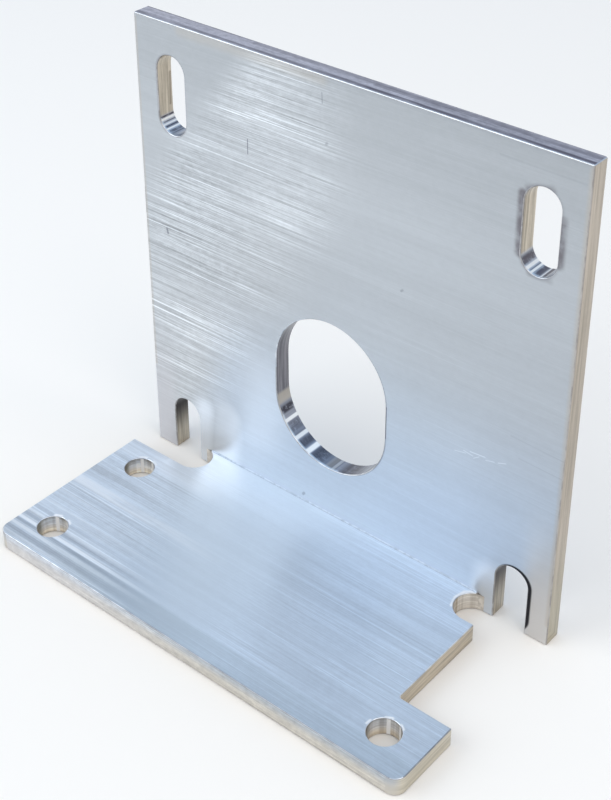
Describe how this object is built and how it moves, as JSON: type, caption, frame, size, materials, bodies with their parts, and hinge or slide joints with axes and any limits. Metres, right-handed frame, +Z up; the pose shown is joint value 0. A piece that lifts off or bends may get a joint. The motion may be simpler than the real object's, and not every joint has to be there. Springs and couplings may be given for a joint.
{
  "type": "motor mounting bracket",
  "caption": "Right-angle aluminium bracket that holds a motor by its face on a slotted upright plate with a shaft window, over a drilled foot with relief cuts beside the plate.",
  "frame": {"origin": "middle of the bounding box, on the plane the foot rests on", "axes": "+X across the plate, along the angle's extrusion; +Y from the foot's front edge to the plate; +Z up the plate"},
  "size_m": [0.1, 0.05, 0.1],
  "materials": {
    "aluminium": "mill finish, drawn streaks along X"
  },
  "bodies": {
    "root": {"bracket": "aluminium"}
  },
  "joints": []
}
